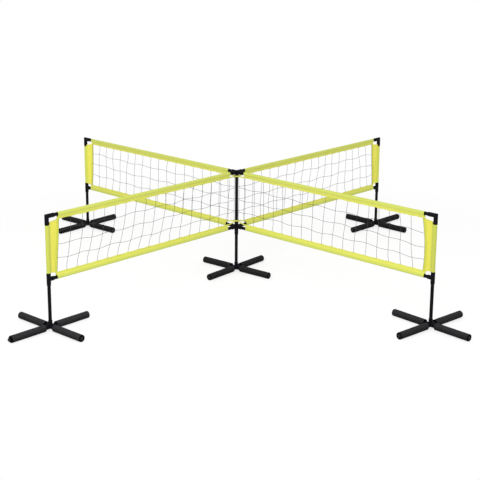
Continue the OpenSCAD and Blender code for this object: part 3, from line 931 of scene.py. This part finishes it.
def side_sleeve(arm):
    seed = side_seed(arm)
    leave_down = drop_point(ROUND_PART)[1]
    notch = ROUND_PART + STRAIGHT_PART * (BESIDE_SOCKET - leave_down) / (SEAM_DOWN - leave_down)
    loop_rows = sorted([*spaced(0, DROP_HALF, LOOP_STEP), notch - NOTCH_HALF, notch + NOTCH_HALF])
    half_rows = [("loop", distance) for distance in loop_rows]
    half_rows += [("web", share) for share in spaced(0, 1, WEB_STEP)[1:]]
    half_rows += [("hem", inward) for inward in HEM_ROWS]
    rows = [(kind, value, -1) for kind, value in reversed(half_rows[1:])]
    rows += [(kind, value, 1) for kind, value in half_rows]
    upper_folds = [1 - fold for fold in reversed(SIDE_FOLDS)]
    columns = [*SIDE_FOLDS, *spaced(SIDE_FOLDS[-1], upper_folds[0], SIDE_STEP)[1:-1], *upper_folds]

    def section(row, width):
        kind, value, hand = row
        if kind == "loop":
            side, down = drop_point(value)
            return side * hand, down, width - SEAM_DOWN + DROP_HALF - value
        inward = value if kind == "hem" else mix(width - SEAM_DOWN, SIDE_HEM, value)
        return LAYER_GAP * hand, width - inward, inward

    def lay(column, row):
        side, down, inward = section(row, side_width(arm, 1 - column))
        z = mix(BOTTOM_HEM_Z, TOP_HEM_Z, column)
        z += (lower_cut(down) - BOTTOM_HEM_Z) * max(0, 1 - column / CUT_REACH)
        z += (upper_cut(down) - TOP_HEM_Z) * max(0, 1 - (1 - column) / CUT_REACH)
        hand = row[2]
        web = smooth(0, 0.05, down) * smooth(-0.004, 0.012, inward)
        fold = noise.noise(Vector((down * 26 + z * 3.0, z * 5.5, seed))) * FOLD * web
        fold += math.sin(z * 8 + down * 30 + seed) * RIPPLE * web
        air = AIR * smooth(SIDE_HEM, SIDE_HEM + 0.02, inward) * smooth(0.02, 0.035, down)
        doubled = DOUBLED * smooth(SIDE_HEM + 0.0004, SIDE_HEM - 0.0008, inward)
        slack = noise.noise(Vector((side * 60, z * 14, seed + down * 40))) * SIDE_SLACK
        turned = TURNED_IN * smooth(0.03, 0.026, min(column, 1 - column))
        out = max(slack, TIGHTEST) + doubled + air + turned
        if down < 0:
            down -= abs(out)
        wave = edge_wave(arm, z) * smooth(0.05, 0, inward)
        place = Vector((ARM - down + wave, side + hand * out + fold, z))
        return place, (z, inward)

    shape = bmesh.new()
    lay_grid(shape, columns, rows, lay)
    turn_to_arm(shape, arm)
    cloth = side_cloths[arm]
    piece = make_piece(shape, f"{arm}_side_sleeve", cloth, "frame", f"{arm}_net_sleeves")
    wall = piece.modifiers.new("cloth", "SOLIDIFY")
    wall.thickness = CLOTH
    wall.offset = 0
    width = 2 * (side_width(arm, 0.5) - SEAM_DOWN + DROP_HALF)
    return piece


sides = [side_sleeve(arm) for arm in ARM_ANGLES]
print("side sleeves:", len(sides), "each", len(sides[0].data.polygons), "faces")

# %% [markdown]
# ## The cord mesh
# The net is tied from twisted cord. Three modelled strands would take millions of faces, so a sine
# along and round the cord draws the lay of the strands, and noise adds the fuzz.

# %% Cord finish
CORD_R = 0.00125
CORD_BLACK = (0.012, 0.012, 0.013, 1)
CORD_GREY = (0.060, 0.060, 0.064, 1)
STRAND_PITCH = 0.006
STRANDS_ROUND = 1.5


def twisted_cord():
    finish = Finish("twisted_cord", Specular_IOR_Level=0.3)
    along, around = finish.split(finish.node("ShaderNodeUVMap"))[:2]
    lay_angle = along * (math.tau / STRAND_PITCH) + around * (STRANDS_ROUND / CORD_R)
    strands = abs(lay_angle.sine())
    fuzz = finish.noise(finish.place(), 900, 3)
    # Painted shade and highlight: the grooves between strands are painted darker and their crowns lighter;
    # the fuzz is the cord's own lighter fibres.
    finish.wire(
        Base_Color=finish.blend(strands * 0.6 + fuzz * 0.4, CORD_BLACK, CORD_GREY),
        Roughness=0.7 + fuzz * 0.2,
        Normal=finish.bump(strands + fuzz * 0.3, 0.00035),
    )
    return finish


cord_finish = twisted_cord()
print("cord finish:", cord_finish.material.name)

# %% [markdown]
# The mesh hangs slack: its level cords rise and fall, and its upright cords lean and curve between the
# places along the two hems to which they have slid. One function says where a point of the flat mesh
# hangs, and every cord and knot asks it, so they always meet.

# %% How the mesh hangs
MESH_HEIGHT = TOP_HEM_Z - BOTTOM_HEM_Z
LEVEL_CORDS = 3
FIRST_LEVEL = (MESH_HEIGHT - (LEVEL_CORDS - 1) * PITCH) / 2
EDGE_CORD = 0.025
UPRIGHT_CORDS = 17
CORD_WAVE = 0.005
WAVE_DEGREES = (130, 75)
WANDER = 0.008
SWAY = 0.016
# How late down an upright cord the lower hem's slide sets in: above 1 late, below 1 early
LATE = {"east": 0.7, "north": 1.2, "west": 1.6, "south": 1.2}
# How far the middle level cord rises towards the side sleeve, and between which places
OUTER_RISE = {"east": 0.0, "north": 0.015, "west": 0.010, "south": -0.019}
RISE_REACH = (1.3, 1.8)


def level_share(number):
    """How far down the mesh a level cord runs, from 0 at the top hem to 1 at the bottom one."""
    return (FIRST_LEVEL + number * PITCH) / MESH_HEIGHT


def mesh_point(arm, along, share):
    free = smooth(EDGE_CORD, FIRST_UPRIGHT, along)
    inside = smooth(0, 0.12, share) * smooth(1, 0.88, share)
    down = min(max(share, 0), 1)
    side_hem = ARM - side_width(arm, down)
    unheld = smooth(side_hem, side_hem - PITCH, along)
    slid = slide(arm, "top", along) * (1 - smooth(0, 1, down))
    slid += slide(arm, "bottom", along) * down ** LATE[arm]
    column = (along - FIRST_UPRIGHT) / PITCH + 1
    row = (share * MESH_HEIGHT - FIRST_LEVEL) / PITCH + 1
    turned = math.radians(WAVE_DEGREES[0] * column + WAVE_DEGREES[1] * row)
    wave = CORD_WAVE * math.sin(turned) * free
    rise = OUTER_RISE[arm] * smooth(*RISE_REACH, along) * math.sin(math.pi * down)
    seed = ARM_ANGLES[arm] * 0.137
    wander = noise.noise(Vector((along * 6.5, share * 2.2, seed))) * WANDER
    x = along + (slid * unheld + wander * inside) * free
    hems = mix(hem_sway(arm, "top", x), hem_sway(arm, "bottom", x), down) * unheld
    sway = noise.noise(Vector((along * 4.0, share * 1.6, seed + 5))) * SWAY * unheld
    return Vector((x, mix(hems, sway, inside), TOP_HEM_Z - share * MESH_HEIGHT + wave * inside + rise))


print("mesh height", round(MESH_HEIGHT, 3), "middle knot", mesh_point("east", ARM / 2, level_share(1)))

# %% [markdown]
# A curve object with a round bevel would make a cord, but it has no map for the twist. A strip of the
# grid, rolled round the path, keeps lengths along and round the cord in its map. A knot is two small
# turns of cord round a core, modelled once and copied to each crossing.


# %% Roll a cord, tie a knot
def roll_cord(shape, path, radius, sides=6):
    """A cord is a strip of cloth map rolled into a tube along a path in the plane of the arm."""
    lengths = [0.0]
    for before, after in zip(path, path[1:]):
        lengths.append(lengths[-1] + (after - before).length)

    def lay(i, j):
        ahead = (path[min(i + 1, len(path) - 1)] - path[max(i - 1, 0)]).normalized()
        side = (Vector((0, 1, 0)) - ahead * ahead.y).normalized()
        turn = math.tau * j / sides
        out = side * math.cos(turn) + ahead.cross(side) * math.sin(turn)
        return path[i] + out * radius, (lengths[i], turn * radius)

    new = lay_grid(shape, list(range(len(path))), list(range(sides + 1)), lay)
    bmesh.ops.remove_doubles(shape, verts=new, dist=radius * 0.05)


KNOT_R = 0.0024
KNOT_TILTS = (38, -52)
KNOT_TURN_SHARE = 0.62
KNOT_CORD_SHARE = 0.85
KNOT_FLATNESS = 0.75
KNOT_SPIN = 90


def knot_mesh():
    """Two small turns of cord, crossed over a round core."""
    shape = bmesh.new()
    quarter = Matrix.Rotation(math.pi / 2, 4, "X")
    for tilt in KNOT_TILTS:
        turn = Matrix.Rotation(math.radians(tilt), 4, "Y")
        place = turn @ Matrix.Translation((KNOT_R * KNOT_TURN_SHARE, 0, 0)) @ quarter
        ring = bmesh.ops.create_circle(shape, segments=4, radius=CORD_R * KNOT_CORD_SHARE, matrix=place)
        bmesh.ops.spin(
            shape,
            geom=ring["verts"] + list({edge for vert in ring["verts"] for edge in vert.link_edges}),
            cent=(0, 0, 0),
            axis=turn.to_3x3() @ Vector((0, 0, 1)),
            angle=math.tau,
            steps=8,
            use_merge=True,
        )
    squash = Matrix.Diagonal((KNOT_R, KNOT_R * KNOT_FLATNESS, KNOT_R, 1))
    bmesh.ops.create_icosphere(shape, subdivisions=1, radius=1, matrix=squash)
    mesh = bpy.data.meshes.new("knot")
    shape.to_mesh(mesh)
    shape.free()
    return mesh


def tie_knot(shape, knot, at):
    """Copies the knot to a crossing, turned differently at each, as hand-tied knots are."""
    placed = knot.copy()
    placed.transform(Matrix.Translation(at) @ Matrix.Rotation(at.x * KNOT_SPIN, 4, "Z"))
    shape.from_mesh(placed)
    bpy.data.meshes.remove(placed)


print("knot", 2 * KNOT_R, "m wide on a cord", 2 * CORD_R, "m thick")

# %% [markdown]
# Each net is one mesh: upright cords that end inside the hems, level cords, knots where they cross, a
# thin edge cord beside the centre post and a border cord beside the side sleeve.

# %% Nets
EDGE_CORD_R = 0.0006
CORD_STEP = 0.012
TUCK = 0.010
SIDE_TUCK = 0.0025
BORDER_OFF = 0.0014
EDGE_CORD_END = 0.97


def border_point(arm, share):
    """The border cord runs down the mesh just beside the side sleeve's hem."""
    z = TOP_HEM_Z - share * MESH_HEIGHT
    return Vector((ARM - side_width(arm, min(max(share, 0), 1)) + edge_wave(arm, z) - BORDER_OFF, 0, z))


def net(arm, finish):
    shape = bmesh.new()
    knot = knot_mesh()
    uprights = [FIRST_UPRIGHT + i * PITCH for i in range(UPRIGHT_CORDS)]
    tuck, border_tuck, step = (length / MESH_HEIGHT for length in (TUCK, SIDE_TUCK, CORD_STEP))
    for along in uprights:
        shares = spaced(-tuck, 1 + tuck, step)
        roll_cord(shape, [mesh_point(arm, along, share) for share in shares], CORD_R)
    for number in range(LEVEL_CORDS):
        share = level_share(number)
        alongs = spaced(EDGE_CORD, ARM - side_width(arm, share) + SIDE_TUCK, CORD_STEP)
        roll_cord(shape, [mesh_point(arm, along, share) for along in alongs], CORD_R)
        for along in [EDGE_CORD, *uprights]:
            tie_knot(shape, knot, mesh_point(arm, along, share))
    edge = [mesh_point(arm, EDGE_CORD, share) for share in spaced(-tuck, EDGE_CORD_END, step)]
    roll_cord(shape, edge, EDGE_CORD_R)
    border = [border_point(arm, share) for share in spaced(-border_tuck, 1 + border_tuck, step)]
    roll_cord(shape, border, CORD_R)
    bpy.data.meshes.remove(knot)
    ends = [e for e in shape.edges if e.is_boundary]
    bmesh.ops.holes_fill(shape, edges=ends, sides=6)
    bmesh.ops.recalc_face_normals(shape, faces=shape.faces)
    turn_to_arm(shape, arm)
    return make_piece(shape, f"{arm}_cord_mesh", finish, "frame", f"{arm}_net")


nets = [net(arm, cord_finish) for arm in ARM_ANGLES]
print("nets:", len(nets), "each", len(nets[0].data.polygons), "faces")

# %% [markdown]
# ## Binding tapes
# A narrow tape ties every net's inner corners to the centre post: one set round the socket under the
# top cross, and one round the post above the bottom cross, whose tapes slope out to the lower sleeves.
# They are flat strips of the same grid, sagging and twisting a little, with a Solidify modifier.

# %% Tapes
TAPE_HEIGHT = 0.010
TAPE = 0.0012
TAPE_WAVE = 0.0003
TAPE_SAG = 0.0012
TAPE_TWIST = 0.25
TAPE_END = 0.006
ABOVE_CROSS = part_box("bottom_cross")[1].z + 0.0005
RINGS = {
    "top": {"radius": 0.0158, "z": TOP_HEM_Z + TAPE_HEIGHT / 2, "drop": 0.0, "reach": 0.079},
    "bottom": {"radius": 0.0127, "z": ABOVE_CROSS + TAPE_HEIGHT / 2, "drop": 0.023, "reach": 0.107},
}


def tape_ring(level, finish):
    ring = RINGS[level]
    shape = bmesh.new()
    heights = spaced(-TAPE_HEIGHT / 2, TAPE_HEIGHT / 2, 0.002)

    def round_post(turn, height):
        radius = ring["radius"] + TAPE / 2 + TAPE_WAVE * math.sin(turn * 3)
        place = Vector((math.cos(turn) * radius, math.sin(turn) * radius, ring["z"] + height))
        return place, (turn * radius, TAPE_HEIGHT / 2 + height)

    new = lay_grid(shape, spaced(0, math.tau, 0.13), heights, round_post)
    bmesh.ops.remove_doubles(shape, verts=new, dist=1e-6)
    for arm in ARM_ANGLES:
        turn = Matrix.Rotation(math.radians(ARM_ANGLES[arm]), 3, "Z")

        def outward(along, height):
            t = (along - ring["radius"]) / (ring["reach"] - ring["radius"])
            sag = TAPE_SAG * math.sin(math.pi * t)
            twist = TAPE_TWIST * math.sin(math.pi * t + ARM_ANGLES[arm])
            z = ring["z"] - ring["drop"] * t - sag + height * math.cos(twist)
            return turn @ Vector((along, height * math.sin(twist), z)), (along, TAPE_HEIGHT / 2 + height)

        alongs = spaced(ring["radius"] + TAPE / 2, ring["reach"] + TAPE_END, 0.004)
        lay_grid(shape, alongs, heights, outward)
    piece = make_piece(shape, f"{level}_tapes", finish, "frame", f"{level}_tape_ring")
    wall = piece.modifiers.new("cloth", "SOLIDIFY")
    wall.thickness = TAPE
    wall.offset = 0
    return piece


tape_cloth = woven_cloth("lime_tape", RAIL_FREE, RAIL_FREE, over_rail)
tapes = [tape_ring(level, tape_cloth) for level in RINGS]
print("tapes:", [len(tape.data.polygons) for tape in tapes])
